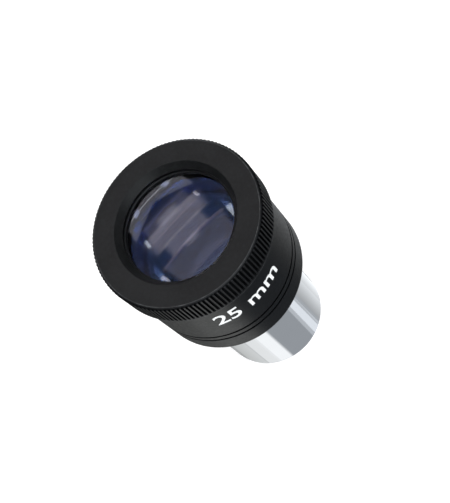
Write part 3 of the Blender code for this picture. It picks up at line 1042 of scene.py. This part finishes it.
def floor_material():
    made, graph, shader, place = new_material("floor_pale")
    soft = graph.noise(place, scale=6.0, detail=2.0).range(over=(0.3, 0.7))
    # It fades into the white backdrop well away from the object.
    x, y, z = graph.split(place)
    glow = radius_mm(x, y).range(over=(150.0, 550.0), to=(0.32, 1.2))
    inputs = {
        "Base Color": graph.mix(soft, (0.86, 0.86, 0.86, 1), (0.88, 0.88, 0.88, 1)),
        "Roughness": 0.9,
        "Specular IOR Level": 0.1,
        "Emission Color": (1, 1, 1, 1),
        "Emission Strength": glow,
    }
    graph.set(shader, inputs)
    return made


def floor():
    bm = bmesh.new()
    bmesh.ops.create_circle(bm, cap_ends=True, cap_tris=False, segments=96, radius=1.6)
    mesh = bpy.data.meshes.new("floor")
    bm.to_mesh(mesh)
    bm.free()
    made = link_object("floor", mesh)
    made.location.z = FLOOR_Z
    mesh.materials.append(floor_material())
    made.visible_glossy = False
    made.visible_transmission = False
    made.visible_shadow = False


floor()

# Upright panels, low round the room: bearings from and to in degrees, softness in
# degrees, colour, level at the first and the last bearing. Three leaves of a folding
# screen, a white card, and a sweep that brightens along its bearings.
PANELS = (
    (84, 127, 2.0, (0.98, 1.0, 0.98), 0.14, 0.23),
    (125, 175, 2.0, (0.98, 1.0, 0.98), 0.33, 0.52),
    (172, 205, 2.0, (0.99, 1.0, 0.99), 0.66, 0.70),
    (198, 237, 4.0, (0.99, 1.0, 1.0), 0.86, 0.86),
    (336, 434, 4.0, (0.95, 0.98, 1.0), 0.08, 1.05),
)
# Shapes overhead are in the x and y of the direction they are seen in.
# Soft boxes: half width in x, its softness, y from and to, softness, colour, strength.
# A box, a small lamp beyond it (+Y), a dimmer box on its near side, a thin tube.
SOFT_BOXES = (
    (0.36, 0.06, 0.46, 0.68, 0.02, (1.0, 0.95, 0.97), 1.45),
    (0.12, 0.05, 0.65, 0.74, 0.03, (0.95, 0.96, 1.0), 1.3),
    (0.44, 0.03, -0.03, 0.27, 0.02, (0.95, 0.92, 1.0), 0.75),
    (0.46, 0.03, 0.28, 0.32, 0.01, (1.0, 0.86, 0.95), 0.9),
)
# A narrow strip at each side: x from and to, y from and to, colour, strength
SIDE_STRIPS = (
    (0.495, 0.56, 0.15, 0.30, (0.8, 0.95, 1.0), 5.5),
    (-0.56, -0.505, 0.17, 0.28, (0.9, 0.95, 1.0), 4.5),
)


def scaled(colour, amount):
    return amount.graph.value("ShaderNodeVectorMath", 0, {0: colour, "Scale": amount}, operation="SCALE")


def low_panels(graph, turn):
    seen = (0.135, 0.15, 0.17, 1.0)
    for start, end, soft, colour, first, last in PANELS:
        along = (turn + (2.0 - start / 360.0)).math("FRACT") * 360.0
        width = end - start
        level = along.range(over=(0.0, width), to=(first, last))
        seen = graph.mix(along.band(soft, width - soft, soft), seen, scaled(colour, level))
    return seen


def high_boxes(graph, x, y):
    side = abs(x)

    def within(limit, soft):
        return 1.0 - side.step(limit - soft, limit + soft)

    # Each entry is a shape (0 to 1 over the directions), a colour and a strength.
    boxes = [
        (within(half, half_soft) * y.band(low, high, soft), colour, strength)
        for half, half_soft, low, high, soft, colour, strength in SOFT_BOXES
    ]
    boxes += [
        (x.band(left, right, soft=0.008) * y.band(low, high, soft=0.02), colour, strength)
        for left, right, low, high, colour, strength in SIDE_STRIPS
    ]
    # Near side (-Y): a large window whose far edge dips in the middle, with a
    # bright bar across it and a brighter pane at each side.
    edge_slope, edge_middle = 0.41, -0.24
    beyond = (side * edge_slope + edge_middle - y).step(low=-0.012, high=0.012)
    corner = side.step(low=0.40, high=0.44) * (1.0 - y.step(low=-0.46, high=-0.42))
    window = beyond * (1.0 - corner) * within(limit=0.66, soft=0.02)
    bar = y.band(low=-0.41, high=-0.392, soft=0.005) * within(limit=0.66, soft=0.03)
    pane = y.band(low=-0.47, high=-0.33, soft=0.012) * side.band(low=0.29, high=0.41, soft=0.012)
    boxes.append((window, (0.9, 0.96, 1.0), 1.5))
    boxes.append((bar, (0.9, 0.96, 1.0), 6.0))
    boxes.append((pane, (0.55, 0.68, 1.0), 5.5))
    seen = (0.02, 0.02, 0.024)
    for shape, colour, strength in boxes:
        terms = {0: seen, 1: scaled(colour, shape * strength)}
        seen = graph.value("ShaderNodeVectorMath", 0, terms, operation="ADD")
    return seen


def studio_world():
    """White room to the eye and to matt surfaces. Shiny surfaces see the
    studio: a dim room, a few upright panels below, and soft boxes above."""
    world = bpy.data.worlds.new("studio")
    bpy.context.scene.world = world
    graph = Graph(world)
    x, y, z = graph.split(graph.value("ShaderNodeTexCoord", "Generated"))
    low = low_panels(graph, azimuth(x, y))
    high = high_boxes(graph, x, y)
    mirror = graph.mix(z.step(low=-0.08, high=0.06), low, high)
    path = graph.add("ShaderNodeLightPath")
    camera_ray, diffuse_ray, transmission_ray = (
        Value(graph, path.outputs["Is %s Ray" % kind])
        for kind in ("Camera", "Diffuse", "Transmission")
    )
    # Down through the lenses it is dark: the tube looks into a closed body.
    through = transmission_ray * (1.0 - z.step(low=-0.5, high=-0.2))
    mirror = graph.mix(through, mirror, (0.004, 0.004, 0.006, 1))
    plain = camera_ray.math("MAXIMUM", diffuse_ray)
    light = {
        "Color": graph.mix(plain, mirror, (1.0, 1.0, 1.0, 1)),
        "Strength": 1.0 + diffuse_ray * -0.45,
    }
    background = graph.value("ShaderNodeBackground", 0, light)
    graph.add("ShaderNodeOutputWorld", {"Surface": background})
    world.cycles.sampling_method = "NONE"


studio_world()


def lamp(name, place, size, power, colour=(1, 1, 1), glossy=False):
    """A rectangular lamp aimed at the origin."""
    data = bpy.data.lights.new(name, "AREA")
    data.shape = "RECTANGLE"
    data.size, data.size_y = size
    data.energy = power
    data.color = colour
    made = link_object(name, data)
    made.location = place
    made.rotation_euler = (-Vector(place)).to_track_quat("-Z", "Y").to_euler()
    made.visible_glossy = glossy
    made.visible_transmission = False
    made.visible_camera = False
    return made


def card_light(name, bearing, rise, distance, size, radiance, colour, pieces):
    """A glowing card, flagged off from everything but these pieces."""
    around, rise = math.radians(bearing), math.radians(rise)
    place = (
        distance * math.cos(rise) * math.cos(around),
        distance * math.cos(rise) * math.sin(around),
        distance * math.sin(rise),
    )
    made = lamp(name, place, size, radiance * math.pi * size[0] * size[1], colour, glossy=True)
    group = bpy.data.collections.new(name + "_on")
    for piece in pieces:
        group.objects.link(piece)
    made.light_linking.receiver_collection = group


lamp("soft_top", (0.05, -0.05, 0.6), size=(0.7, 0.7), power=3.2)
lamp("soft_left", (-0.5, -0.25, 0.3), size=(0.5, 0.5), power=1.5)
lamp("soft_right", (0.5, -0.1, 0.25), size=(0.4, 0.5), power=0.8)

COOL = (0.93, 0.96, 1.0)
# Name, bearing and rise in degrees, distance, size, radiance, colour, pieces lit.
# table_top is the pale table under the sleeve, which the black parts don't pick up.
CARDS = (
    ("window_blind", 315, -60, 0.4, (0.095, 0.34), 0.2, COOL, [sleeve]),
    ("window_pane", 316, -60, 0.39, (0.05, 0.34), 0.34, COOL, [sleeve]),
    ("side_blind", 354, -60, 0.4, (0.15, 0.34), 0.1, COOL, [sleeve]),
    ("table_top", 270, -90, 0.42, (2.4, 2.4), 0.2, (0.97, 0.99, 1.0), [sleeve]),
    ("fill_card", 205, -52, 0.4, (0.2, 0.3), 0.28, (0.96, 1.0, 0.97), [housing, grip]),
)
for card in CARDS:
    card_light(*card)

# The camera's own axes and its place
CAMERA_RIGHT = (0.68818267, -0.62935967, -0.36098616)
CAMERA_UP = (0.72543058, 0.58832872, 0.35723914)
CAMERA_BACK = (-0.01245338, -0.50771618, 0.86143438)
CAMERA_PLACE = (0.0, -0.105098, 0.185080)

camera_data = bpy.data.cameras.new("camera")
camera_data.sensor_width = 36.0
camera_data.sensor_fit = "AUTO"
camera_data.lens = 74.96
camera_data.clip_start = 0.005
camera_data.clip_end = 20.0
camera = link_object("camera", camera_data)
pose = Matrix((CAMERA_RIGHT, CAMERA_UP, CAMERA_BACK)).transposed().to_4x4()
pose.translation = CAMERA_PLACE
camera.matrix_world = pose

scene = bpy.context.scene
scene.camera = camera
scene.view_settings.view_transform = "Standard"
scene.view_settings.look = "None"
scene.view_settings.exposure = 0.0
scene.cycles.use_denoising = True
scene.cycles.max_bounces = 24
scene.cycles.transmission_bounces = 20
scene.cycles.glossy_bounces = 10
scene.cycles.diffuse_bounces = 3
scene.cycles.sample_clamp_indirect = 8.0
